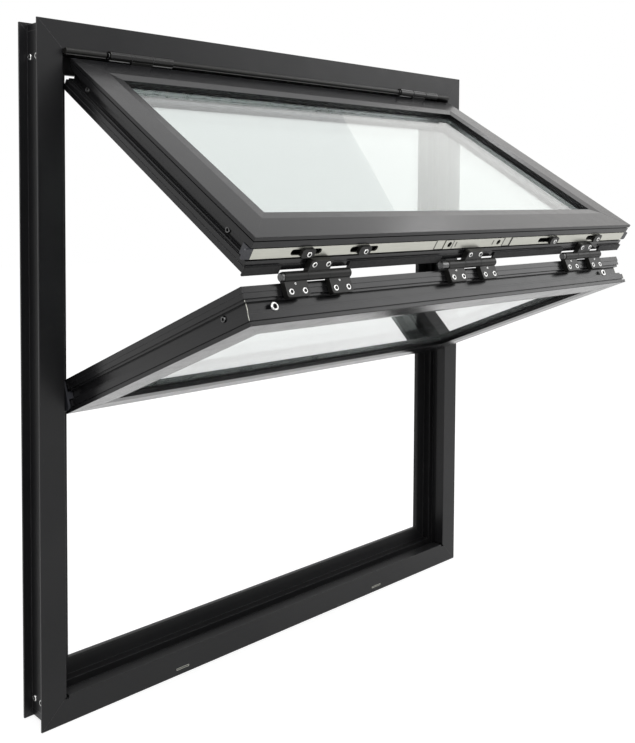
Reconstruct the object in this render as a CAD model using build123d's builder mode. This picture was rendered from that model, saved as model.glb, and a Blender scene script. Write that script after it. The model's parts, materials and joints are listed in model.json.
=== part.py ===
from build123d import *
import os
from math import acos, atan2, cos, degrees, hypot, radians, sin

# Fold-up bifold window in black aluminium: an outer frame, an upper sash hinged at the head,
# a lower sash hinged under it, and guides that run in the jambs. It stands half folded.
# Millimetres. X runs along the sill, +Y into the wall, +Z up.
# The origin is on the back face of the frame, at the middle of its bottom edge.

# Outer frame
frame_width = 950.0
frame_height = 1000.0
frame_depth = 55.0
flange_width = 39.0
flange_thickness = 3.0
fin_thickness = 3.0
jamb_channel_depth = 12.5
rail_channel_depth = 3.0
edge_radius = 0.8
edge_tolerance = 0.001

# Inner side of the frame, from front to back: ledge, guide track, step, stop lip
ledge_depth = 19.0
track_width = 16.0
track_depth = 8.0
step_height = 3.0
lip_thickness = 5.0
lip_reach = 29.5
seal_width = 4.0
seal_thickness = 2.5

# Drain slots in the sill
drain_length = 25.0
drain_height = 3.2
drain_depth = 5.0
drain_level = 10.0
drain_inset = 245.0
corner_notch = 4.5

# Sashes, as they lie when the window is shut
sash_side_gap = 8.5
sash_setback = 0.8
head_gap = 10.3
meeting_gap = 13.3
sill_gap = 3.4
upper_sash_extra = 21.0
sash_thickness = 46.5

# Sash profile: depths from the front face, widths from the outer edge
front_lip_depth = 4.8
lip_groove_width = 1.8
lip_groove_depth = 3.0
side_recess = 0.8
groove_start = 14.8
groove_width = 17.5
slot_start = 18.0
slot_width = 11.0
bar_recess = 3.3
groove_depth = 8.0
rear_leaf_start = 39.0
face_flat = 39.0
face_slope = 16.0
face_fall = 2.0
glazing_leg = 8.0

# Glazing
gasket_thickness = 3.0
gasket_inset = 1.0
gasket_height = 7.0
pane_thickness = 5.0
pane_bite = 9.0
cavity = 9.0
spacer_width = 8.0
spacer_cover = 3.0
strip_gap = 0.3

# Fold: slope of the upper sash below the level, in degrees
upper_slope = 31.2

# Head hinges
head_pin_proud = 6.0
head_pin_drop = 3.5
head_barrel_diameter = 14.0
head_pin_diameter = 6.0
head_pin_end_diameter = 8.6
head_pin_end_length = 1.2
head_pin_end_round = 0.4
head_knuckle_length = 37.0
head_hinge_left_inset = 117.0
head_hinge_right_inset = 95.0
head_leaf_thickness = 3.0
head_leaf_depth = 17.0
head_arm_width = 4.0
cover_diameter = 9.0
cover_gap = 5.5
cover_right_trim = 8.5

# Middle hinges
mid_pin_setback = 5.5
mid_barrel_diameter = 12.6
mid_pin_diameter = 6.0
mid_knuckle_length = 37.0
mid_hinge_left_inset = 115.0
mid_hinge_centre = -4.0
mid_hinge_right_inset = 126.5
mid_leaf_thickness = 7.5
mid_upper_leaf_depth = 21.0
mid_lower_leaf_depth = 25.0
leaf_corner_radius = 3.0

# Pins
pin_clearance = 0.1
knuckle_gap = 0.4
pin_head_diameter = 11.0
pin_head_length = 3.5
centre_head_length = 13.0
pin_head_round = 1.5

# Lock gear in the meeting edge of the upper sash
bar_start = 16.0
bar_width = 14.0
bar_thickness = 2.5
gear_clearance = 0.3
bar_end_gap = 5.0
lock_plate_centre = -6.0
lock_plate_length = 138.0
lock_tongue_length = 20.0
lock_tongue_step = 0.8
lock_seam_width = 1.4
lock_seam_depth = 1.8
bar_joint_gap = 0.9
lock_box_depth = 4.4
lock_screw_inset = 11.0
lock_screw_diameter = 8.4
lock_slit_inset = 25.0
lock_slit_length = 8.0
lock_slit_width = 1.6
slot_length = 50.0
slot_height = 8.0
left_slot_insets = (90.0, 190.0)
right_slot_insets = (244.0, 101.0)
left_cam_insets = (90.0, 188.0)
right_cam_insets = (229.0, 96.0)
cam_length = 21.0
cam_width = 12.5
cam_corner = 4.0
cam_thickness = 4.5
cam_stem_diameter = 6.0
corner_piece_height = 15.0
corner_piece_proud = 8.0
corner_piece_round = 3.0

# Seal strips on the meeting edge of the upper sash, between the hinges
flap_thickness = 2.4
flap_overhang = 3.5

# Guides at the foot of the lower sash
guide_drop = 4.0
guide_inset = 32.6
guide_plate_height = 16.0
guide_plate_foot = 9.0
guide_plate_front = 4.0
guide_plate_thickness = 3.0
guide_plate_corner = 5.0
guide_axle_diameter = 6.0
guide_roller_clearance = 0.5
guide_roller_length = 6.0

# Sizes that follow
sash_width = frame_width - 2 * (flange_width + sash_side_gap)
clear_height = frame_height - 2 * flange_width
lower_sash_height = (clear_height - head_gap - meeting_gap - sill_gap - upper_sash_extra) / 2
upper_sash_height = lower_sash_height + upper_sash_extra
track_centre = ledge_depth + track_width / 2
unit_front = glazing_leg + gasket_thickness
unit_back = unit_front + 2 * pane_thickness + cavity
bead_front = unit_back + gasket_thickness
face_width = face_flat + face_slope
half_gap = meeting_gap / 2
front_y = -frame_depth
half_sash = sash_width / 2
drain_offset = frame_width / 2 - drain_inset
head_hinge_left = head_hinge_left_inset - half_sash
head_hinge_right = half_sash - head_hinge_right_inset
mid_hinge_left = mid_hinge_left_inset - half_sash
mid_hinge_right = half_sash - mid_hinge_right_inset
left_slots = [inset - half_sash for inset in left_slot_insets]
right_slots = [half_sash - inset for inset in right_slot_insets]
left_cams = [inset - half_sash for inset in left_cam_insets]
right_cams = [half_sash - inset for inset in right_cam_insets]

# Folded places, each as (depth, height) in the plane of the side view
slope_up = radians(upper_slope)
head_pin = (front_y - head_pin_proud, frame_height - flange_width - head_pin_drop)
pin_to_top_edge = head_gap - head_pin_drop
pin_to_face = head_pin_proud + sash_setback
run = pin_to_top_edge + upper_sash_height
drop = pin_to_face + sash_thickness + mid_pin_setback
mid_pin = (
    head_pin[0] - (run + half_gap) * cos(slope_up) + drop * sin(slope_up),
    head_pin[1] - (run + half_gap) * sin(slope_up) - drop * cos(slope_up),
)
arm_along = lower_sash_height + half_gap + guide_drop
arm_across = sash_thickness + mid_pin_setback - guide_inset
arm = hypot(arm_along, arm_across)
reach = front_y + track_centre - mid_pin[0]
slope_low = acos(reach / arm) - atan2(arm_across, arm_along)

# Base planes: origin at the middle of the bottom edge of a front face, y up the face, z out of it
frame_face = Plane(origin=(0, front_y, 0), x_dir=(1, 0, 0), z_dir=(0, -1, 0))
upper_face = Plane(
    origin=(
        0,
        head_pin[0] - run * cos(slope_up) + pin_to_face * sin(slope_up),
        head_pin[1] - run * sin(slope_up) - pin_to_face * cos(slope_up),
    ),
    x_dir=(1, 0, 0),
    z_dir=(0, -sin(slope_up), cos(slope_up)),
)
pin_along = lower_sash_height + half_gap
pin_across = sash_thickness + mid_pin_setback
lower_face = Plane(
    origin=(
        0,
        mid_pin[0] + pin_along * cos(slope_low) - pin_across * sin(slope_low),
        mid_pin[1] - pin_along * sin(slope_low) - pin_across * cos(slope_low),
    ),
    x_dir=(1, 0, 0),
    z_dir=(0, -sin(slope_low), -cos(slope_low)),
)


def save(part, name):
    """Label a finished piece and write it to its own file."""
    part.label = name
    export_step(part, f"parts/{name}.step")


def side_planes(face, width, height):
    """The four sides of a rectangle: each plane runs along a side, with y inward and z out of the face."""
    corners = {
        "bottom": ((-width / 2, 0), (1, 0), width),
        "right": ((width / 2, 0), (0, 1), height),
        "top": ((width / 2, height), (-1, 0), width),
        "left": ((-width / 2, height), (0, -1), height),
    }
    sides = {}
    for name, (corner, along, length) in corners.items():
        direction = face.x_dir * along[0] + face.y_dir * along[1]
        origin = face.from_local_coords((*corner, 0))
        sides[name] = (Plane(origin=origin, x_dir=direction, z_dir=face.z_dir), length)
    return sides


def section_plane(side):
    """Plane across a side at its start: x inward, y out of the face."""
    return Plane(origin=side.origin, x_dir=side.y_dir, z_dir=side.x_dir)


def cross_plane(x, depth_height, x_dir=(0, 1, 0)):
    """Plane of the side view at a given x, with its origin on a hinge pin."""
    return Plane(origin=(x, *depth_height), x_dir=x_dir, z_dir=(1, 0, 0))


def frame_section(channel_depth):
    """Outline of a frame bar: inward from the outer edge, depth as negative."""
    back = -frame_depth
    step_front = -(ledge_depth + track_width)
    lip_front = back + lip_thickness
    step = flange_width + step_height
    tip = flange_width + lip_reach
    track_floor = flange_width - track_depth
    return [
        (0, 0),
        (flange_width, 0),
        (flange_width, -ledge_depth),
        (track_floor, -ledge_depth),
        (track_floor, step_front),
        (step, step_front),
        (step, lip_front),
        (tip, lip_front),
        (tip, back),
        (0, back),
        (0, back + fin_thickness),
        (channel_depth, back + fin_thickness),
        (channel_depth, -flange_thickness),
        (0, -flange_thickness),
    ]


def sash_section():
    """Outline of a sash bar: inward from the outer edge, depth as negative."""
    lip_groove_end = front_lip_depth + lip_groove_width
    groove_end = groove_start + groove_width
    slot_end = slot_start + slot_width
    return [
        (0, 0),
        (face_flat, 0),
        (face_width, -face_fall),
        (face_width, -glazing_leg),
        (face_flat, -glazing_leg),
        (face_flat, -sash_thickness),
        (0, -sash_thickness),
        (0, -rear_leaf_start),
        (side_recess, -rear_leaf_start),
        (side_recess, -groove_end),
        (bar_recess, -groove_end),
        (bar_recess, -slot_end),
        (groove_depth, -slot_end),
        (groove_depth, -slot_start),
        (bar_recess, -slot_start),
        (bar_recess, -groove_start),
        (side_recess, -groove_start),
        (side_recess, -lip_groove_end),
        (lip_groove_depth, -lip_groove_end),
        (lip_groove_depth, -front_lip_depth),
        (0, -front_lip_depth),
    ]


def mitred_bar(side, length, outline, width, depth):
    """Run an outline along a side and cut both ends to a mitre, in the part being built."""
    with BuildSketch(section_plane(side)) as profile:
        with BuildLine():
            Polyline(*outline, close=True)
        make_face()
        fillet(profile.vertices().group_by(Axis.Y)[-1], edge_radius)
    extrude(profile.sketch, amount=length)
    with BuildSketch(side) as mitre:
        Polygon((0, 0), (length, 0), (length - width, width), (width, width), align=None)
    extrude(mitre.sketch, amount=-depth, mode=Mode.INTERSECT)


def four_strips(face, width, height, outer, inner, front, thickness):
    """Four straight strips round a rectangle that stop just short of each other."""
    strip = inner - outer
    upright = height - 2 * inner - 2 * strip_gap
    middle = outer + strip / 2
    with BuildSketch(face.offset(-front)) as strips:
        with Locations((0, middle), (0, height - middle)):
            Rectangle(width - 2 * outer, strip)
        with Locations((middle - width / 2, height / 2), (width / 2 - middle, height / 2)):
            Rectangle(strip, upright)
    extrude(strips.sketch, amount=-thickness)


def leaf_corners(edges):
    """The short upright edges at the free corners of a hinge leaf."""
    return [edge for edge in edges if abs(edge.length - mid_leaf_thickness) < edge_tolerance]


os.makedirs("parts", exist_ok=True)

# Frame bars
frame_reach = flange_width + lip_reach
frame_names = {
    "bottom": "frame_sill",
    "right": "frame_jamb_right",
    "top": "frame_head",
    "left": "frame_jamb_left",
}
for place, (side, length) in side_planes(frame_face, frame_width, frame_height).items():
    is_jamb = place in ("left", "right")
    with BuildPart() as frame_bar:
        outline = frame_section(jamb_channel_depth if is_jamb else rail_channel_depth)
        mitred_bar(side, length, outline, frame_reach, frame_depth)
        if not is_jamb:
            with BuildSketch(side.offset(-flange_thickness)):
                notch = jamb_channel_depth / 2
                with Locations((notch, notch), (length - notch, notch)):
                    Rectangle(jamb_channel_depth, jamb_channel_depth)
            extrude(amount=-(frame_depth - flange_thickness - fin_thickness), mode=Mode.SUBTRACT)
        if place == "bottom":
            with BuildSketch(frame_face):
                with Locations((-drain_offset, drain_level), (drain_offset, drain_level)):
                    SlotOverall(drain_length, drain_height)
            extrude(amount=-drain_depth, mode=Mode.SUBTRACT)
            inner_edge = frame_width / 2 - flange_width
            with BuildSketch(frame_face):
                with Locations((-inner_edge, flange_width), (inner_edge, flange_width)):
                    Rectangle(2 * corner_notch, corner_notch, align=(Align.CENTER, Align.MAX))
            extrude(amount=-ledge_depth, mode=Mode.SUBTRACT)
    save(frame_bar.part, frame_names[place])

# Seals on the stop lip
seal_outer = frame_reach - seal_width
seal_front = frame_depth - lip_thickness - seal_thickness
with BuildPart() as frame_seals:
    four_strips(frame_face, frame_width, frame_height, seal_outer, frame_reach, seal_front, seal_thickness)
save(frame_seals.part, "frame_seals")

# Sashes and their glazing
bar_names = {"bottom": "bottom_rail", "right": "right_stile", "top": "top_rail", "left": "left_stile"}
sashes = (("upper", upper_face, upper_sash_height), ("lower", lower_face, lower_sash_height))
for sash, face, height in sashes:
    for place, (side, length) in side_planes(face, sash_width, height).items():
        with BuildPart() as sash_bar:
            mitred_bar(side, length, sash_section(), face_width, sash_thickness)
        save(sash_bar.part, f"{sash}_{bar_names[place]}")

    with BuildPart() as glazing_beads:
        four_strips(face, sash_width, height, face_flat, face_width, bead_front, sash_thickness - bead_front)
    save(glazing_beads.part, f"{sash}_glazing_beads")

    gasket_inner = face_width - gasket_inset
    gasket_outer = gasket_inner - gasket_height
    with BuildPart() as glazing_gaskets:
        four_strips(face, sash_width, height, gasket_outer, gasket_inner, glazing_leg, gasket_thickness)
        four_strips(face, sash_width, height, gasket_outer, gasket_inner, unit_back, gasket_thickness)
    save(glazing_gaskets.part, f"{sash}_glazing_gaskets")

    pane_edge = face_width - pane_bite
    pane_width = sash_width - 2 * pane_edge
    pane_height = height - 2 * pane_edge
    spacer_front = unit_front + pane_thickness
    with BuildPart() as outer_pane:
        with BuildSketch(face.offset(-unit_front)):
            with Locations((0, height / 2)):
                Rectangle(pane_width, pane_height)
        extrude(amount=-pane_thickness)
    save(outer_pane.part, f"{sash}_outer_pane")

    with BuildPart() as inner_pane:
        with BuildSketch(face.offset(-(spacer_front + cavity))):
            with Locations((0, height / 2)):
                Rectangle(pane_width, pane_height)
        extrude(amount=-pane_thickness)
    save(inner_pane.part, f"{sash}_inner_pane")

    with BuildPart() as spacer:
        with BuildSketch(face.offset(-spacer_front)):
            with Locations((0, height / 2)):
                rim = 2 * spacer_cover
                Rectangle(pane_width - rim, pane_height - rim)
                rim = 2 * (spacer_cover + spacer_width)
                Rectangle(pane_width - rim, pane_height - rim, mode=Mode.SUBTRACT)
        extrude(amount=-cavity)
    save(spacer.part, f"{sash}_spacer_bar")

# Head hinges: the sash leaf has the middle knuckle, the frame leaf the outer two
head_hinge_half = 1.5 * head_knuckle_length
knuckle_solid = head_knuckle_length - 2 * knuckle_gap
bore_radius = head_pin_diameter / 2 + pin_clearance
to_rear = (0, sin(slope_up), -cos(slope_up))
for place, centre in (("left", head_hinge_left), ("right", head_hinge_right)):
    with BuildPart() as head_frame_leaf:
        for end in (-1, 1):
            start = centre + end * head_knuckle_length - knuckle_solid / 2
            with BuildSketch(cross_plane(start, head_pin)):
                Circle(head_barrel_diameter / 2)
                plate_low = head_pin_drop - head_leaf_thickness
                plate_length = head_leaf_depth + head_pin_proud / 2
                with Locations((head_pin_proud / 2, plate_low)):
                    Rectangle(plate_length, head_leaf_thickness, align=Align.MIN)
                Circle(bore_radius, mode=Mode.SUBTRACT)
            extrude(amount=knuckle_solid)
    save(head_frame_leaf.part, f"head_hinge_{place}_frame_leaf")

    with BuildPart() as head_sash_leaf:
        with BuildSketch(cross_plane(centre - knuckle_solid / 2, head_pin, to_rear)):
            Circle(head_barrel_diameter / 2)
            plate_top = head_leaf_thickness - pin_to_top_edge
            with Locations((pin_to_face, -pin_to_top_edge)):
                Rectangle(head_leaf_depth, head_leaf_thickness, align=Align.MIN)
            with BuildLine():
                Polyline(
                    (0, 0),
                    (pin_to_face + head_arm_width, plate_top),
                    (pin_to_face, -pin_to_top_edge),
                    (pin_to_face - head_arm_width, -pin_to_top_edge),
                    close=True,
                )
            make_face()
            Circle(bore_radius, mode=Mode.SUBTRACT)
        extrude(amount=knuckle_solid)
    save(head_sash_leaf.part, f"head_hinge_{place}_sash_leaf")

    with BuildPart() as head_hinge_pin:
        with BuildSketch(cross_plane(centre - head_hinge_half, head_pin)):
            Circle(head_pin_diameter / 2)
        extrude(amount=2 * head_hinge_half)
        with BuildSketch(cross_plane(centre - head_hinge_half - head_pin_end_length, head_pin)):
            Circle(head_pin_end_diameter / 2)
        extrude(amount=head_pin_end_length)
        fillet(head_hinge_pin.edges().sort_by(Axis.X)[0], head_pin_end_round)
    save(head_hinge_pin.part, f"head_hinge_{place}_pin")

# Round cover strip along the head, in line with the hinge barrels
cover_end = frame_width / 2 - flange_width - gear_clearance
hinge_left_end = head_hinge_half + cover_gap
hinge_right_end = head_hinge_half + knuckle_gap
cover_spans = (
    (-cover_end, head_hinge_left - hinge_left_end),
    (head_hinge_left + hinge_right_end, head_hinge_right - hinge_left_end),
    (head_hinge_right + hinge_right_end, cover_end - cover_right_trim),
)
with BuildPart() as head_cover:
    for start, end in cover_spans:
        with BuildSketch(cross_plane(start, head_pin)):
            Circle(cover_diameter / 2)
            with Locations((head_pin_proud / 2, head_pin_drop - head_leaf_thickness)):
                Rectangle(head_leaf_depth + head_pin_proud / 2, head_leaf_thickness, align=Align.MIN)
        extrude(amount=end - start)
save(head_cover.part, "head_cover_strip")

# Middle hinges: the upper leaf has the middle knuckle, the lower leaf the outer two
mid_hinge_half = 1.5 * mid_knuckle_length
mid_solid = mid_knuckle_length - 2 * knuckle_gap
mid_bore = mid_pin_diameter / 2 + pin_clearance
low_to_rear = (0, sin(slope_low), cos(slope_low))
mid_hinges = (
    ("left", mid_hinge_left, pin_head_length),
    ("centre", mid_hinge_centre, centre_head_length),
    ("right", mid_hinge_right, pin_head_length),
)
for place, centre, head_length in mid_hinges:
    with BuildPart() as mid_upper_leaf:
        with BuildSketch(cross_plane(centre - mid_solid / 2, mid_pin, to_rear)):
            Circle(mid_barrel_diameter / 2)
            with Locations((0, half_gap)):
                Rectangle(mid_upper_leaf_depth, mid_leaf_thickness, align=Align.MAX)
            Circle(mid_bore, mode=Mode.SUBTRACT)
        extrude(amount=mid_solid)
        fillet(leaf_corners(mid_upper_leaf.edges()), leaf_corner_radius)
    save(mid_upper_leaf.part, f"mid_hinge_{place}_upper_leaf")

    with BuildPart() as mid_lower_leaf:
        for end in (-1, 1):
            start = centre + end * mid_knuckle_length - mid_solid / 2
            with BuildSketch(cross_plane(start, mid_pin, low_to_rear)):
                Circle(mid_barrel_diameter / 2)
                with Locations((0, -half_gap)):
                    Rectangle(mid_lower_leaf_depth, mid_leaf_thickness, align=(Align.MAX, Align.MIN))
                Circle(mid_bore, mode=Mode.SUBTRACT)
            extrude(amount=mid_solid)
        fillet(leaf_corners(mid_lower_leaf.edges()), leaf_corner_radius)
    save(mid_lower_leaf.part, f"mid_hinge_{place}_lower_leaf")

    with BuildPart() as mid_hinge_pin:
        with BuildSketch(cross_plane(centre - mid_hinge_half, mid_pin)):
            Circle(mid_pin_diameter / 2)
        extrude(amount=2 * mid_hinge_half)
        with BuildSketch(cross_plane(centre - mid_hinge_half - head_length, mid_pin)):
            Circle(pin_head_diameter / 2)
        extrude(amount=head_length)
        fillet(mid_hinge_pin.edges().sort_by(Axis.X)[0], pin_head_round)
    save(mid_hinge_pin.part, f"mid_hinge_{place}_pin")

# Seal strips along the meeting edge, cut away at the hinges
flap_reach = mid_hinge_half + knuckle_gap
flap_marks = [-half_sash]
for place, centre, head_length in mid_hinges:
    flap_marks += [centre - flap_reach - head_length, centre + flap_reach]
flap_marks.append(half_sash)
with BuildPart() as meeting_seals:
    for start, end in zip(flap_marks[::2], flap_marks[1::2]):
        with BuildSketch(upper_face.offset(-rear_leaf_start)):
            with Locations(((start + end) / 2, 0)):
                Rectangle(end - start, flap_thickness, align=(Align.CENTER, Align.MAX))
        extrude(amount=-(sash_thickness + flap_overhang - rear_leaf_start))
save(meeting_seals.part, "meeting_seals")

# Lock gear, seen on the meeting edge of the upper sash: x along, y to the back
edge_level = bar_recess - bar_thickness
meeting_edge = Plane(
    origin=upper_face.from_local_coords((0, 0, -(bar_start + bar_width / 2))),
    x_dir=(1, 0, 0),
    z_dir=-upper_face.y_dir,
)
bar_seat = meeting_edge.offset(-bar_recess)
bar_limit = half_sash - bar_end_gap
box_half = lock_plate_length / 2 + lock_tongue_length
box_left = lock_plate_centre - box_half
box_right = lock_plate_centre + box_half
bar_spans = (
    (-bar_limit, box_left - bar_joint_gap, left_slots),
    (box_right + bar_joint_gap, bar_limit, right_slots),
)
with BuildPart() as lock_bars:
    for start, end, slots in bar_spans:
        with BuildSketch(bar_seat):
            with Locations(((start + end) / 2, 0)):
                Rectangle(end - start, bar_width)
            with Locations(*[(slot, 0) for slot in slots]):
                SlotOverall(slot_length, slot_height, mode=Mode.SUBTRACT)
        extrude(amount=bar_thickness)
save(lock_bars.part, "lock_bars")

# Lock box: a face plate with screw holes and slits, a lower tongue at each end, a body in the groove
body_width = slot_width - 2 * gear_clearance
body_offset = bar_start + bar_width / 2 - slot_start - slot_width / 2
screw_reach = lock_plate_length / 2 - lock_screw_inset
slit_reach = lock_plate_length / 2 - lock_slit_inset
with BuildPart() as lock_box:
    with BuildSketch(bar_seat):
        with Locations((lock_plate_centre, 0)):
            Rectangle(2 * box_half, bar_width)
    extrude(amount=bar_thickness - lock_tongue_step)
    with BuildSketch(bar_seat):
        with Locations((lock_plate_centre, 0)):
            Rectangle(lock_plate_length, bar_width)
    extrude(amount=bar_thickness)
    with BuildSketch(bar_seat):
        with Locations((lock_plate_centre - screw_reach, 0), (lock_plate_centre + screw_reach, 0)):
            Circle(lock_screw_diameter / 2)
        with Locations((lock_plate_centre - slit_reach, 0), (lock_plate_centre + slit_reach, 0)):
            SlotOverall(lock_slit_length, lock_slit_width, rotation=90)
    extrude(amount=bar_thickness, mode=Mode.SUBTRACT)
    with BuildSketch(bar_seat.offset(bar_thickness)):
        seam_reach = (lock_plate_length + lock_seam_width) / 2
        with Locations((lock_plate_centre - seam_reach, 0), (lock_plate_centre + seam_reach, 0)):
            Rectangle(lock_seam_width, bar_width)
    extrude(amount=-lock_seam_depth, mode=Mode.SUBTRACT)
    with BuildSketch(bar_seat):
        with Locations((lock_plate_centre, body_offset)):
            Rectangle(2 * slit_reach - lock_slit_length, body_width)
    extrude(amount=-lock_box_depth)
save(lock_box.part, "lock_box")

# Cams: a stem through each slot and a rounded head over the bar
with BuildPart() as lock_cams:
    for centre in left_cams + right_cams:
        with BuildSketch(meeting_edge.offset(-groove_depth)):
            with Locations((centre, 0)):
                Circle(cam_stem_diameter / 2)
        extrude(amount=groove_depth - edge_level)
        with BuildSketch(meeting_edge.offset(-edge_level)):
            with Locations((centre, 0)):
                RectangleRounded(cam_length, cam_width, cam_corner)
        extrude(amount=cam_thickness)
save(lock_cams.part, "lock_cams")

# Corner pieces, which turn the lock gear from the meeting edge into the stiles
with BuildPart() as corner_pieces:
    for hand in (-1, 1):
        tip = hand * (half_sash + corner_piece_proud)
        seat = hand * (half_sash - bar_recess)
        outer = hand * half_sash
        inner = hand * (half_sash - groove_depth + gear_clearance)
        bar_end = hand * (bar_limit + gear_clearance)
        with BuildSketch(upper_face.offset(-(slot_start + gear_clearance))):
            Polygon(
                (seat, bar_recess),
                (inner, bar_recess),
                (inner, corner_piece_height),
                (seat, corner_piece_height),
                align=None,
            )
        extrude(amount=-body_width)
        with BuildSketch(upper_face.offset(-bar_start)):
            Polygon(
                (seat, bar_recess),
                (outer, bar_recess),
                (outer, corner_piece_height),
                (seat, corner_piece_height),
                align=None,
            )
        extrude(amount=-bar_width)
        with BuildSketch(bar_seat) as tab:
            with Locations(((bar_end + tip) / 2, 0)):
                Rectangle(abs(tip - bar_end), bar_width)
            fillet(tab.vertices().sort_by(Axis.X)[:: hand][-2:], corner_piece_round)
        extrude(amount=bar_thickness)
save(corner_pieces.part, "lock_corner_pieces")

# Guides: a plate on each stile of the lower sash, a block in its groove, an axle and a roller in the jamb track
roller_diameter = track_width - 2 * guide_roller_clearance
axle_length = sash_side_gap + track_depth - gear_clearance
with BuildPart() as guides:
    for hand in (-1, 1):
        side_face = Plane(
            origin=lower_face.from_local_coords((hand * half_sash, 0, 0)),
            x_dir=lower_face.z_dir,
            z_dir=(hand, 0, 0),
        )
        along = 1 if side_face.y_dir.dot(lower_face.y_dir) > 0 else -1
        plate_width = sash_thickness - guide_plate_front
        plate_height = guide_plate_height + guide_plate_foot
        plate_middle = plate_height / 2 - guide_plate_foot
        with BuildSketch(side_face):
            with Locations((-guide_plate_front - plate_width / 2, along * plate_middle)):
                RectangleRounded(plate_width, plate_height, guide_plate_corner)
        extrude(amount=guide_plate_thickness)
        with BuildSketch(side_face):
            with Locations((-slot_start - slot_width / 2, along * guide_plate_height / 2)):
                Rectangle(body_width, guide_plate_height)
        extrude(amount=gear_clearance - groove_depth)
        with BuildSketch(side_face):
            with Locations((-guide_inset, -along * guide_drop)):
                Circle(guide_axle_diameter / 2)
        extrude(amount=axle_length)
        with BuildSketch(side_face.offset(axle_length - guide_roller_length)):
            with Locations((-guide_inset, -along * guide_drop)):
                Circle(roller_diameter / 2)
        extrude(amount=guide_roller_length)
save(guides.part, "sash_guides")
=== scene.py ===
import json
import math

import bmesh
import bpy
from mathutils import Matrix, Vector


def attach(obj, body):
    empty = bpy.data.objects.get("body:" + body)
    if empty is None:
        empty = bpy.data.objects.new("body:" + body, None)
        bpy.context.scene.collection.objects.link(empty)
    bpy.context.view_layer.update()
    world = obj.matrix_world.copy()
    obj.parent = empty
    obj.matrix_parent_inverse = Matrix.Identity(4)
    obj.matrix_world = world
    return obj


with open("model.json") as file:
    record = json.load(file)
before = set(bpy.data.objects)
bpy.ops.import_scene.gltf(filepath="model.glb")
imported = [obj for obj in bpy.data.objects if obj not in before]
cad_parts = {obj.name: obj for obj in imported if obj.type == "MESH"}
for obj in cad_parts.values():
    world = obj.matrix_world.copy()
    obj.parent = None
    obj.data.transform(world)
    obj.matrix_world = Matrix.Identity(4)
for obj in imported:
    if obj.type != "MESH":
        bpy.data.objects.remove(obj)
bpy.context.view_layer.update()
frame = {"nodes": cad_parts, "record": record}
nodes = frame["nodes"]

scene = bpy.context.scene
scene.view_settings.view_transform = "Standard"

# Camera: fitted to the photograph, image taken as 635 x 743
PHOTO_WIDTH, PHOTO_HEIGHT = 635.0, 743.0
FOCAL_PX = 927.09
AXIS_PX = (287.96, 238.80)
SENSOR_WIDTH = 36.0
CAMERA_PLACE = (-1.0922, -1.2201, 0.7539)
YAW, PITCH, ROLL = -42.99, -2.49, -0.25
camera_data = bpy.data.cameras.new("camera")
camera_data.sensor_fit = "HORIZONTAL"
camera_data.sensor_width = SENSOR_WIDTH
camera_data.lens = SENSOR_WIDTH * FOCAL_PX / PHOTO_WIDTH
camera_data.shift_x = (PHOTO_WIDTH / 2 - AXIS_PX[0]) / PHOTO_WIDTH
camera_data.shift_y = (AXIS_PX[1] - PHOTO_HEIGHT / 2) / PHOTO_WIDTH
camera_data.clip_start = 0.01
camera = bpy.data.objects.new("camera", camera_data)
scene.collection.objects.link(camera)
turn = (
    Matrix.Rotation(math.radians(YAW), 4, "Z")
    @ Matrix.Rotation(math.radians(PITCH), 4, "X")
    @ Matrix.Rotation(math.radians(ROLL), 4, "Y")
    @ Matrix.Rotation(math.radians(90.0), 4, "X")
)
camera.matrix_world = Matrix.Translation(CAMERA_PLACE) @ turn
scene.camera = camera

# Sizes repeated from the part, in millimetres
MM = 0.001
FRAME_WIDTH, FRAME_HEIGHT, FRAME_DEPTH = 950.0, 1000.0, 55.0
FLANGE, JAMB_CHANNEL = 39.0, 12.5
SIDE_GAP, HEAD_GAP, MEETING_GAP, SILL_GAP = 8.5, 10.3, 13.3, 3.4
UPPER_EXTRA, SASH_THICKNESS = 21.0, 46.5
PIN_PROUD, PIN_DROP, SETBACK = 6.0, 3.5, 0.8
MID_SETBACK, GUIDE_DROP, GUIDE_INSET = 5.5, 4.0, 32.6
TRACK_CENTRE = 27.0
SLOPE_UP = math.radians(31.2)
GROOVE_DEPTH, BAR_RECESS, SLOT_MIDDLE, BAR_MIDDLE = 8.0, 3.3, 23.5, 23.0
LEAF, KNUCKLE = 7.5, 37.0
HEAD_BARREL_RADIUS, MID_BARREL_RADIUS, PIN_CLEAR_RADIUS = 7.0, 6.3, 3.4
HEAD_INSET_LEFT, HEAD_INSET_RIGHT = 117.0, 95.0
MID_INSET_LEFT, MID_CENTRE, MID_INSET_RIGHT = 115.0, -4.0, 126.5
CAM_INSETS_LEFT, CAM_INSETS_RIGHT = (90.0, 188.0), (229.0, 96.0)
DRAIN_INSET, DRAIN_UP, DRAIN_LENGTH, DRAIN_HEIGHT = 245.0, 10.0, 25.0, 3.2

half = FRAME_WIDTH / 2 - FLANGE - SIDE_GAP
clear = FRAME_HEIGHT - 2 * FLANGE
lower_height = (clear - HEAD_GAP - MEETING_GAP - SILL_GAP - UPPER_EXTRA) / 2
upper_height = lower_height + UPPER_EXTRA
head_pin = (-FRAME_DEPTH - PIN_PROUD, FRAME_HEIGHT - FLANGE - PIN_DROP)
run = HEAD_GAP - PIN_DROP + upper_height
across = SASH_THICKNESS + MID_SETBACK
face_off = PIN_PROUD + SETBACK
up_cos, up_sin = math.cos(SLOPE_UP), math.sin(SLOPE_UP)
mid_run = run + MEETING_GAP / 2
mid_off = face_off + across
mid_pin = (
    head_pin[0] - mid_run * up_cos + mid_off * up_sin,
    head_pin[1] - mid_run * up_sin - mid_off * up_cos,
)
along = lower_height + MEETING_GAP / 2
arm = math.hypot(along + GUIDE_DROP, across - GUIDE_INSET)
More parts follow.
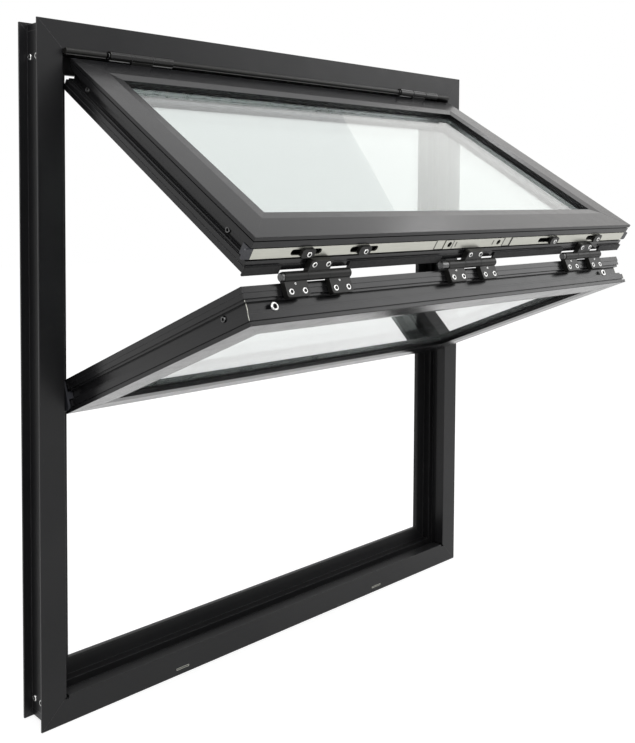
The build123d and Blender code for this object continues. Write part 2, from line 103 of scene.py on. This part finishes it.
SLOPE_LOW = math.acos((TRACK_CENTRE - FRAME_DEPTH - mid_pin[0]) / arm) - math.atan2(
    across - GUIDE_INSET, along + GUIDE_DROP
)
low_cos, low_sin = math.cos(SLOPE_LOW), math.sin(SLOPE_LOW)


class Face:
    """Front face of a sash: x along, up its height, and depth behind the face, all in millimetres."""

    def __init__(self, origin, up, out, height):
        self.origin = Vector((0.0, *origin))
        self.up = Vector((0.0, *up))
        self.out = Vector((0.0, *out))
        self.height = height

    def at(self, x, up, depth):
        return (self.origin + Vector((x, 0, 0)) + self.up * up - self.out * depth) * MM


upper = Face(
    (head_pin[0] - run * up_cos + face_off * up_sin, head_pin[1] - run * up_sin - face_off * up_cos),
    (up_cos, up_sin),
    (-up_sin, up_cos),
    upper_height,
)
lower = Face(
    (mid_pin[0] + along * low_cos - across * low_sin, mid_pin[1] - along * low_sin - across * low_cos),
    (-low_cos, low_sin),
    (-low_sin, -low_cos),
    lower_height,
)


# Materials
def start(name):
    mat = bpy.data.materials.new(name)
    mat.use_nodes = True
    tree = mat.node_tree
    return mat, tree, tree.nodes["Principled BSDF"]


def noise(tree, scale, detail=3.0, stretch=(1.0, 1.0, 1.0)):
    coords = tree.nodes.new("ShaderNodeTexCoord")
    mapping = tree.nodes.new("ShaderNodeMapping")
    mapping.inputs["Scale"].default_value = stretch
    texture = tree.nodes.new("ShaderNodeTexNoise")
    texture.inputs["Scale"].default_value = scale
    texture.inputs["Detail"].default_value = detail
    tree.links.new(coords.outputs["Object"], mapping.inputs["Vector"])
    tree.links.new(mapping.outputs["Vector"], texture.inputs["Vector"])
    return texture.outputs["Fac"]


def spread(tree, value, low, high, start_at=0.3, end_at=0.7):
    node = tree.nodes.new("ShaderNodeMapRange")
    node.inputs["From Min"].default_value = start_at
    node.inputs["From Max"].default_value = end_at
    node.inputs["To Min"].default_value = low
    node.inputs["To Max"].default_value = high
    tree.links.new(value, node.inputs["Value"])
    return node.outputs["Result"]


def blend_colours(tree, factor, first, second):
    """Mix two colours, each a tuple or a socket."""
    node = tree.nodes.new("ShaderNodeMix")
    node.data_type = "RGBA"
    tree.links.new(factor, node.inputs["Factor"])
    for socket, colour in ((node.inputs[6], first), (node.inputs[7], second)):
        if isinstance(colour, tuple):
            socket.default_value = (*colour, 1.0)
        else:
            tree.links.new(colour, socket)
    return node.outputs[2]


def rounded_normal(tree, radius):
    node = tree.nodes.new("ShaderNodeBevel")
    node.samples = 4
    node.inputs["Radius"].default_value = radius
    return node.outputs["Normal"]


def edge_mask(tree, normal, start_at, end_at):
    geometry = tree.nodes.new("ShaderNodeNewGeometry")
    dot = tree.nodes.new("ShaderNodeVectorMath")
    dot.operation = "DOT_PRODUCT"
    tree.links.new(normal, dot.inputs[0])
    tree.links.new(geometry.outputs["Normal"], dot.inputs[1])
    return spread(tree, dot.outputs["Value"], 1.0, 0.0, start_at, end_at)


def bump(tree, shader, height, strength, distance, normal=None):
    node = tree.nodes.new("ShaderNodeBump")
    node.inputs["Strength"].default_value = strength
    node.inputs["Distance"].default_value = distance
    tree.links.new(height, node.inputs["Height"])
    if normal is not None:
        tree.links.new(normal, node.inputs["Normal"])
    tree.links.new(node.outputs["Normal"], shader.inputs["Normal"])


def coated_metal(name, dark, light, rough, specular, radius, edge):
    """Powder-coated aluminium: fine orange peel, cloudy gloss and edges rubbed a little lighter."""
    mat, tree, shader = start(name)
    normal = rounded_normal(tree, radius)
    cloud = spread(tree, noise(tree, 9.0, 5.0), 0.0, 1.0)
    colour = blend_colours(tree, cloud, dark, light)
    speck = spread(tree, noise(tree, 1900.0, 2.0), 0.0, 0.35, 0.6, 0.75)
    colour = blend_colours(tree, speck, colour, tuple(3.0 * c for c in light))
    worn = edge_mask(tree, normal, 0.80, 0.985)
    colour = blend_colours(tree, worn, colour, edge)
    tree.links.new(colour, shader.inputs["Base Color"])
    gloss = spread(tree, noise(tree, 46.0, 6.0), rough - 0.02, rough + 0.03)
    tree.links.new(gloss, shader.inputs["Roughness"])
    shader.inputs["Specular IOR Level"].default_value = specular
    bump(tree, shader, noise(tree, 950.0, 2.0), 0.10, 0.0005, normal)
    return mat


def bare_metal(name, dark, light, rough, grain, radius, stretch=(1.0, 1.0, 1.0)):
    """Bare or anodised metal with a drawn or brushed grain along one axis."""
    mat, tree, shader = start(name)
    normal = rounded_normal(tree, radius)
    streak = noise(tree, grain, 4.0, stretch)
    colour = blend_colours(tree, spread(tree, streak, 0.0, 1.0), dark, light)
    smear = spread(tree, noise(tree, 22.0, 5.0), 0.0, 0.25, 0.45, 0.75)
    colour = blend_colours(tree, smear, colour, tuple(0.78 * c for c in dark))
    tree.links.new(colour, shader.inputs["Base Color"])
    tree.links.new(spread(tree, streak, rough - 0.06, rough + 0.08), shader.inputs["Roughness"])
    shader.inputs["Metallic"].default_value = 1.0
    bump(tree, shader, streak, 0.12, 0.0003, normal)
    return mat


def rubber(name, tone, rough):
    """Black rubber with a bloom and a fine extruded grain."""
    mat, tree, shader = start(name)
    bloom = spread(tree, noise(tree, 60.0, 6.0), 0.0, 1.0)
    colour = blend_colours(tree, bloom, (tone, tone, tone), (1.7 * tone, 1.7 * tone, 1.8 * tone))
    tree.links.new(colour, shader.inputs["Base Color"])
    tree.links.new(spread(tree, noise(tree, 300.0), rough - 0.07, rough + 0.1), shader.inputs["Roughness"])
    shader.inputs["Specular IOR Level"].default_value = 0.3
    bump(tree, shader, noise(tree, 1400.0, 3.0), 0.25, 0.0004, rounded_normal(tree, 0.0005))
    return mat


def moulded(name, dark, light, rough):
    """Moulded plastic with a spark-eroded grain."""
    mat, tree, shader = start(name)
    normal = rounded_normal(tree, 0.0006)
    colour = blend_colours(tree, spread(tree, noise(tree, 40.0, 5.0), 0.0, 1.0), dark, light)
    tree.links.new(colour, shader.inputs["Base Color"])
    tree.links.new(spread(tree, noise(tree, 500.0), rough - 0.05, rough + 0.08), shader.inputs["Roughness"])
    bump(tree, shader, noise(tree, 1600.0, 2.0), 0.2, 0.0003, normal)
    return mat


def window_glass(name):
    """Clear float glass with a faint green and a thin film of dust."""
    mat, tree, shader = start(name)
    shader.inputs["Base Color"].default_value = (0.81, 0.843, 0.832, 1.0)
    shader.inputs["Transmission Weight"].default_value = 1.0
    shader.inputs["IOR"].default_value = 1.47
    shader.inputs["Specular IOR Level"].default_value = 0.15
    film = spread(tree, noise(tree, 7.0, 6.0), 0.0, 0.035, 0.4, 0.8)
    tree.links.new(film, shader.inputs["Roughness"])
    return mat


def perforated_spacer(name):
    """Mill aluminium spacer bar with two rows of small holes along it, the holes coloured dark as painted
    shade inside them.
    """
    mat, tree, shader = start(name)
    coords = tree.nodes.new("ShaderNodeTexCoord")
    holes = tree.nodes.new("ShaderNodeTexVoronoi")
    holes.inputs["Scale"].default_value = 260.0
    holes.inputs["Randomness"].default_value = 0.0
    tree.links.new(coords.outputs["Object"], holes.inputs["Vector"])
    mask = spread(tree, holes.outputs["Distance"], 1.0, 0.0, 0.22, 0.30)
    streak = noise(tree, 60.0, 4.0, (1.0, 8.0, 8.0))
    metal = blend_colours(tree, spread(tree, streak, 0.0, 1.0), (0.62, 0.63, 0.64), (0.80, 0.80, 0.80))
    # the holes take a near-black colour: painted shade inside the perforations
    tree.links.new(blend_colours(tree, mask, metal, (0.05, 0.05, 0.05)), shader.inputs["Base Color"])
    tree.links.new(spread(tree, streak, 0.24, 0.36), shader.inputs["Roughness"])
    shader.inputs["Metallic"].default_value = 1.0
    bump(tree, shader, mask, 0.6, -0.0004)
    return mat


frame_black = coated_metal(
    "frame_black",
    dark=(0.0080, 0.0081, 0.0088),
    light=(0.0115, 0.0115, 0.0122),
    rough=0.36,
    specular=0.25,
    radius=0.0008,
    edge=(0.080, 0.080, 0.083),
)
sash_black = coated_metal(
    "sash_black",
    dark=(0.0060, 0.0060, 0.0068),
    light=(0.0086, 0.0085, 0.0091),
    rough=0.22,
    specular=0.29,
    radius=0.0006,
    edge=(0.055, 0.055, 0.057),
)
hinge_black = coated_metal(
    "hinge_black",
    dark=(0.0085, 0.0083, 0.0077),
    light=(0.0120, 0.0117, 0.0108),
    rough=0.34,
    specular=0.22,
    radius=0.0008,
    edge=(0.066, 0.065, 0.060),
)
barrel_black = coated_metal(
    "barrel_black",
    dark=(0.0070, 0.0068, 0.0066),
    light=(0.0105, 0.0103, 0.0098),
    rough=0.17,
    specular=0.32,
    radius=0.0006,
    edge=(0.060, 0.059, 0.055),
)
seal_black = rubber("seal_rubber", tone=0.009, rough=0.58)
glass = window_glass("clear_glass")
spacer = perforated_spacer("spacer_aluminium")
gear = bare_metal(
    "gear_aluminium",
    dark=(0.43, 0.43, 0.385),
    light=(0.51, 0.51, 0.46),
    rough=0.36,
    grain=26.0,
    radius=0.0005,
    stretch=(1.0, 60.0, 60.0),
)
steel = bare_metal(
    "fixing_steel", dark=(0.55, 0.55, 0.54), light=(0.78, 0.78, 0.77), rough=0.24, grain=420.0, radius=0.0004
)
# Pins and stile screws: a darker copy of the fixing steel, painted shade for their dim look
pin_steel = bare_metal(
    "pin_steel", dark=(0.09, 0.09, 0.09), light=(0.15, 0.15, 0.15), rough=0.30, grain=420.0, radius=0.0006
)
# Near-black metal inside the hex sockets of the screws: dirt and painted shade in the recesses
socket_dark = bare_metal(
    "socket_dark", dark=(0.01, 0.01, 0.01), light=(0.02, 0.02, 0.02), rough=0.55, grain=300.0, radius=0.0003
)
plastic = moulded("gear_plastic", dark=(0.020, 0.021, 0.026), light=(0.032, 0.033, 0.040), rough=0.46)
looks = {
    "frame_black": frame_black,
    "sash_black": sash_black,
    "hinge_black": hinge_black,
    "seal_rubber": seal_black,
    "clear_glass": glass,
    "spacer_aluminium": spacer,
    "gear_aluminium": gear,
    "fixing_steel": steel,
    "gear_plastic": plastic,
}
for part in frame["record"]["subparts"]:
    node = nodes[part["node"]]
    node.data.materials.clear()
    look = looks[part["material_slot"]]
    # Pins take the darker steel with painted shade, head hinges the glossier black
    if part["node"].endswith("_pin"):
        look = pin_steel
    elif part["node"].startswith("head_hinge"):
        look = barrel_black
    node.data.materials.append(look)


# Added pieces
SHARP_ANGLE = math.radians(35.0)


def add_piece(name, bm, mat, inside=None):
    mesh = bpy.data.meshes.new(name)
    bmesh.ops.recalc_face_normals(bm, faces=bm.faces)
    for face in bm.faces:
        face.smooth = True
    bm.to_mesh(mesh)
    bm.free()
    mesh.set_sharp_from_angle(angle=SHARP_ANGLE)
    mesh.materials.append(mat)
    if inside is not None:
        mesh.materials.append(inside)
    piece = bpy.data.objects.new(name, mesh)
    scene.collection.objects.link(piece)
    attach(piece, "root")


def add_rings(bm, rings, inside_from=None):
    """Join rings of points in order and close both ends; from one ring on, faces take the second material."""
    made = [[bm.verts.new(point) for point in ring] for ring in rings]
    if inside_from is None:
        inside_from = len(made)
    for k, (first, second) in enumerate(zip(made, made[1:])):
        count = len(first)
        for i in range(count):
            face = bm.faces.new((first[i], first[(i + 1) % count], second[(i + 1) % count], second[i]))
            face.material_index = 1 if k >= inside_from else 0
    bm.faces.new(made[0][::-1])
    bm.faces.new(made[-1]).material_index = 1 if len(made) > inside_from else 0


def add_sleeve(bm, loops):
    """Join loops of points in order, and the last to the first."""
    made = [[bm.verts.new(point) for point in loop] for loop in loops]
    for first, second in zip(made, made[1:] + made[:1]):
        count = len(first)
        for i in range(count):
            bm.faces.new((first[i], first[(i + 1) % count], second[(i + 1) % count], second[i]))


def add_flat_ring(bm, x, axis, radius, hole, width, sides=32):
    """A flat ring round a hinge axis that runs along x."""
    loops = []
    for size, shift in ((radius, -width / 2), (radius, width / 2), (hole, width / 2), (hole, -width / 2)):
        loop = []
        for i in range(sides):
            angle = 2 * math.pi * i / sides
            point = Vector((x + shift, axis[0] + size * math.cos(angle), axis[1] + size * math.sin(angle)))
            loop.append(point * MM)
        loops.append(loop)
    add_sleeve(bm, loops)


def add_screw(bm, place, axis, radius, height, socket=0.5, sink=0.4, sides=24):
    """A round screw head with a hexagonal socket; sizes in millimetres, place in metres."""
    upright = Matrix.Translation(place) @ axis.to_track_quat("Z", "Y").to_matrix().to_4x4()
    inner = socket * radius
    profile = (
        (radius, -sink, False),
        (radius, 0.35 * height, False),
        (0.95 * radius, 0.72 * height, False),
        (0.82 * radius, height, False),
        (1.22 * inner, height, False),
        (1.05 * inner, 0.88 * height, True),
        (inner, 0.80 * height, True),
        (inner, 0.05 * height, True),
        (0.4 * inner, -0.2 * sink, False),
    )
    rings = []
    for size, level, hexagon in profile:
        ring = []
        for i in range(sides):
            angle = 2 * math.pi * i / sides
            reach = size
            if hexagon:
                reach = size * math.cos(math.pi / 6) / math.cos(angle % (math.pi / 3) - math.pi / 6)
            ring.append(upright @ (Vector((reach * math.cos(angle), reach * math.sin(angle), level)) * MM))
        rings.append(ring)
    add_rings(bm, rings, inside_from=5)


def add_ridge(bm, begin, end, normal, width, height, sink=0.3, crest=0.4):
    """A low ridge along a line on a surface, sunk a little into it; the crest is a share of the width."""
    side = (end - begin).normalized().cross(normal) * (width / 2 * MM)
    top = normal * (height * MM)
    foot = normal * (-sink * MM)
    rings = []
    for point in (begin, end):
        base = [point - side + foot, point + side + foot]
        rings.append(base + [point + side * crest + top, point - side * crest + top])
    add_rings(bm, rings)


X_AXIS = Vector((1, 0, 0))
head_centres = (HEAD_INSET_LEFT - half, half - HEAD_INSET_RIGHT)
mid_centres = (MID_INSET_LEFT - half, MID_CENTRE, half - MID_INSET_RIGHT)

# Screw heads: radius, height and share of the radius taken by the socket
HINGE_SCREW = {"radius": 3.9, "height": 0.9, "socket": 0.6}
SET_SCREW = {"radius": 1.5, "height": 0.5}
CAM_SCREW = {"radius": 3.8, "height": 1.0, "socket": 0.58}
PLATE_SCREW = {"radius": 2.8, "height": 1.4}
EDGE_SCREW = {"radius": 5.7, "height": 1.4, "socket": 0.56}
STILE_SCREW = {"radius": 4.2, "height": 2.0}
CHANNEL_SCREW = {"radius": 4.8, "height": 1.4, "socket": 0.6}

# Places of the screws on the piece that holds them
LEAF_SCREW_OFFSET, UPPER_LEAF_DEPTH, LOWER_LEAF_DEPTH = 11.5, 36.5, 33.5
SET_SCREW_OFFSET, SET_SCREW_DEPTH = -1.5, 43.0
CAM_SCREW_OFFSET, CAM_FACE = 1.5, 3.7
PLATE_SCREWS, PLATE_SCREW_UP = (-64.0, 52.0), 6.4
EDGE_INSET_LEFT, EDGE_INSET_RIGHT, EDGE_SCREW_DEPTH = 45.0, 58.0, 20.8
STILE_SCREW_FOOT, STILE_SCREW_TOP, LOWER_STILE_SCREW = 52.0, 50.5, 52.0
CHANNEL_SCREW_DEPTHS, CHANNEL_SCREW_UP, CHANNEL_SCREW_DROP = (-30.5, -10.5), 29.0, 49.0

# Dark rings between the knuckles of all hinges, painted shade for the shadow gaps at the knuckle joints
joint_shade_rings = bmesh.new()
for joint in (-KNUCKLE / 2, KNUCKLE / 2):
    for centre in head_centres:
        add_flat_ring(joint_shade_rings, centre + joint, head_pin, HEAD_BARREL_RADIUS + 0.25, PIN_CLEAR_RADIUS, 1.8)
    for centre in mid_centres:
        add_flat_ring(joint_shade_rings, centre + joint, mid_pin, MID_BARREL_RADIUS + 0.2, PIN_CLEAR_RADIUS, 1.2)
add_piece("hinge_joint_shade_rings", joint_shade_rings, seal_black)

# Screws of the middle hinges, two in each leaf plate, and a small set screw by each outer knuckle
screws = bmesh.new()
for centre in mid_centres:
    for offset in (-LEAF_SCREW_OFFSET, LEAF_SCREW_OFFSET):
        add_screw(screws, upper.at(centre + offset, -LEAF, UPPER_LEAF_DEPTH), -upper.up, **HINGE_SCREW)
        for knuckle in (-KNUCKLE, KNUCKLE):
            place = lower.at(centre + knuckle + 0.95 * offset, lower_height + LEAF, LOWER_LEAF_DEPTH)
            add_screw(screws, place, lower.up, **HINGE_SCREW)
    for knuckle in (-KNUCKLE, KNUCKLE):
        place = lower.at(centre + knuckle + SET_SCREW_OFFSET, lower_height + LEAF, SET_SCREW_DEPTH)
        add_screw(screws, place, lower.up, **SET_SCREW)
add_piece("mid_hinge_screws", screws, steel, socket_dark)

# Screws on the four cams and in the lock plate
screws = bmesh.new()
cam_places = [inset - half for inset in CAM_INSETS_LEFT] + [half - inset for inset in CAM_INSETS_RIGHT]
for x in cam_places:
    add_screw(screws, upper.at(x + CAM_SCREW_OFFSET, -CAM_FACE, BAR_MIDDLE + 1.0), -upper.up, **CAM_SCREW)
add_piece("cam_screws", screws, steel, socket_dark)
screws = bmesh.new()
for x in PLATE_SCREWS:
    add_screw(screws, upper.at(x, PLATE_SCREW_UP, BAR_MIDDLE), -upper.up, **PLATE_SCREW)
add_piece("lock_plate_screws", screws, hinge_black, socket_dark)

# Dark joints across the lock bar and dark slits in the lock plate
PLATE_UP = 0.8
JOINT_DEPTHS, SLIT_DEPTHS = (16.2, 29.8), (19.2, 26.8)
JOINTS = ((-95.5, 4.6), (-57.0, 3.2), (64.0, 4.6), (83.9, 2.6))
SLITS = ((-50.0, 4.6), (38.0, 4.6))
marks = bmesh.new()
for depths, places in ((JOINT_DEPTHS, JOINTS), (SLIT_DEPTHS, SLITS)):
    for x, width in places:
        ends = [upper.at(x, PLATE_UP, depth) for depth in depths]
        add_ridge(marks, *ends, -upper.up, width, 0.08, 1.0)
add_piece("lock_plate_marks", marks, hinge_black)

# Screws in the groove of the lower sash's meeting edge and of all four stiles
screws = bmesh.new()
for x in (EDGE_INSET_LEFT - half, half - EDGE_INSET_RIGHT):
    add_screw(screws, lower.at(x, lower_height - BAR_RECESS, EDGE_SCREW_DEPTH), lower.up, **EDGE_SCREW)
add_piece("edge_screws", screws, steel, socket_dark)
screws = bmesh.new()
for hand in (-1, 1):
    side = hand * (half - GROOVE_DEPTH)
    for up in (STILE_SCREW_FOOT, upper_height - STILE_SCREW_TOP):
        add_screw(screws, upper.at(side, up, SLOT_MIDDLE), hand * X_AXIS, **STILE_SCREW)
    place = lower.at(side, lower_height - LOWER_STILE_SCREW, SLOT_MIDDLE)
    add_screw(screws, place, hand * X_AXIS, **STILE_SCREW)
add_piece("stile_screws", screws, pin_steel, socket_dark)

# Corner screws in the side channels of the jambs
screws = bmesh.new()
for hand in (-1, 1):
    side = hand * (FRAME_WIDTH / 2 - JAMB_CHANNEL)
    for depth in CHANNEL_SCREW_DEPTHS:
        for height in (CHANNEL_SCREW_UP, FRAME_HEIGHT - CHANNEL_SCREW_DROP):
            add_screw(screws, Vector((side, depth, height)) * MM, hand * X_AXIS, **CHANNEL_SCREW)
add_piece("channel_screws", screws, steel, socket_dark)

# Fine mitre lines on the faces of the frame and of both sashes
FRAME_LINE_INSETS, SASH_LINE_INSETS = (0.8, FLANGE - 0.8), (1.0, 38.5)
LINE_HEIGHT = 0.06
lines = bmesh.new()
for hand in (-1, 1):
    for low in (True, False):
        corner = Vector((hand * FRAME_WIDTH / 2, -FRAME_DEPTH, 0 if low else FRAME_HEIGHT))
        shift = Vector((-hand, 0, 1 if low else -1))
        ends = [(corner + shift * inset) * MM for inset in FRAME_LINE_INSETS]
        add_ridge(lines, *ends, Vector((0, -1, 0)), 0.8, LINE_HEIGHT)
add_piece("frame_mitre_lines", lines, frame_black)
lines = bmesh.new()
for sash in (upper, lower):
    for hand in (-1, 1):
        for low in (True, False):
            ends = []
            for inset in SASH_LINE_INSETS:
                up = inset if low else sash.height - inset
                ends.append(sash.at(hand * (half - inset), up, 0))
            add_ridge(lines, *ends, sash.out, 0.7, LINE_HEIGHT)
add_piece("sash_mitre_lines", lines, sash_black)

# Bare cut edges of the lower sash's mitres: inset from the corner, two depths, width and height of the ridge
BARE_EDGES = (
    (BAR_RECESS, (31.5, 29.5), 1.0, 0.25),
    (BAR_RECESS, (17.5, 15.5), 1.0, 0.25),
    (0.8, (14.2, 7.2), 1.0, 0.25),
    (GROOVE_DEPTH, (28.6, 18.4), 1.2, 0.35),
)
edges = bmesh.new()
for hand in (-1, 1):
    normal = (hand * X_AXIS + lower.up).normalized()
    for inset, depths, width, height in BARE_EDGES:
        ends = [lower.at(hand * (half - inset), lower_height - inset, depth) for depth in depths]
        add_ridge(edges, *ends, normal, width, height)
add_piece("bare_mitre_edges", edges, gear)


def add_slot_rim(bm, centre, length, height, wall, depth, sides=24):
    """A thin sleeve round the inside of a slot in the front face."""
    loops = []
    for inset, level in ((0.02, 0.0), (0.02, depth), (wall, depth), (wall, 0.0)):
        radius = height / 2 - inset
        straight = length / 2 - height / 2
        loop = []
        for i in range(sides):
            angle = 2 * math.pi * (i + 0.5) / sides
            shift = straight if math.cos(angle) > 0 else -straight
            point = Vector((shift + radius * math.cos(angle), level, radius * math.sin(angle)))
            loop.append((centre + point) * MM)
        loops.append(loop)
    add_sleeve(bm, loops)


# Bare rims of the drain slots
rims = bmesh.new()
for hand in (-1, 1):
    centre = Vector((hand * (FRAME_WIDTH / 2 - DRAIN_INSET), -FRAME_DEPTH, DRAIN_UP))
    add_slot_rim(rims, centre, DRAIN_LENGTH, DRAIN_HEIGHT, wall=0.7, depth=4.0)
add_piece("drain_slot_rims", rims, gear)

# Floor, light and background
FLOOR_SIZE, FLOOR_DROP, FLOOR_GLOW = 16.0, 0.001, 0.765
WORLD_LIGHT, WORLD_SEEN = 0.55, 1.0
bpy.ops.mesh.primitive_plane_add(size=FLOOR_SIZE, location=(0, 0, -FLOOR_DROP))
floor = bpy.context.object
floor.name = "floor"


def seen_directly(tree):
    """1 for rays from the camera, and for mirror and glass rays, else 0."""
    path = tree.nodes.new("ShaderNodeLightPath")
    total = None
    for name in ("Is Camera Ray", "Is Glossy Ray", "Is Transmission Ray"):
        if total is None:
            total = path.outputs[name]
            continue
        node = tree.nodes.new("ShaderNodeMath")
        node.operation = "MAXIMUM"
        tree.links.new(total, node.inputs[0])
        tree.links.new(path.outputs[name], node.inputs[1])
        total = node.outputs["Value"]
    return total


floor_mat, tree, shader = start("floor")
tone = blend_colours(tree, spread(tree, noise(tree, 3.0), 0.0, 1.0), (0.42, 0.42, 0.42), (0.45, 0.45, 0.45))
tree.links.new(tone, shader.inputs["Base Color"])
shader.inputs["Roughness"].default_value = 0.9
shader.inputs["Specular IOR Level"].default_value = 0.0
shader.inputs["Emission Color"].default_value = (1.0, 1.0, 1.0, 1.0)
glow = tree.nodes.new("ShaderNodeMath")
glow.operation = "MULTIPLY"
glow.inputs[1].default_value = FLOOR_GLOW
tree.links.new(seen_directly(tree), glow.inputs[0])
tree.links.new(glow.outputs["Value"], shader.inputs["Emission Strength"])
floor.data.materials.append(floor_mat)

world = bpy.data.worlds.new("world")
scene.world = world
world.use_nodes = True
tree = world.node_tree
sky = tree.nodes["Background"]
sky.inputs["Color"].default_value = (1.0, 1.0, 1.0, 1.0)
strength = spread(tree, seen_directly(tree), WORLD_LIGHT, WORLD_SEEN, 0.0, 1.0)
tree.links.new(strength, sky.inputs["Strength"])


def area_light(name, place, target, size, power, colour=(1.0, 1.0, 1.0)):
    data = bpy.data.lights.new(name, "AREA")
    data.shape = "RECTANGLE"
    data.size, data.size_y = size
    data.energy = power
    data.color = colour
    lamp = bpy.data.objects.new(name, data)
    scene.collection.objects.link(lamp)
    lamp.location = place
    lamp.rotation_euler = (Vector(target) - Vector(place)).to_track_quat("-Z", "Y").to_euler()


area_light("key", (-1.9, -2.3, 2.7), (0.0, -0.2, 0.6), (1.8, 1.2), 45.0)
area_light("fill", (2.4, -1.9, 1.9), (0.0, -0.2, 0.6), (1.6, 1.6), 20.0)
area_light("top", (-0.2, -0.7, 2.5), (0.0, -0.3, 0.6), (1.8, 0.5), 18.0)
area_light("rim", (1.4, -0.8, 2.45), (0.3, -0.07, 0.95), (2.6, 0.14), 6.0)
area_light("back", (1.6, 0.8, 2.6), (0.0, -0.25, 0.75), (2.4, 2.0), 2.4)
area_light("side", (2.5, 0.25, 1.95), (0.1, -0.3, 0.8), (1.7, 1.2), 2.2, (1.0, 0.95, 0.90))
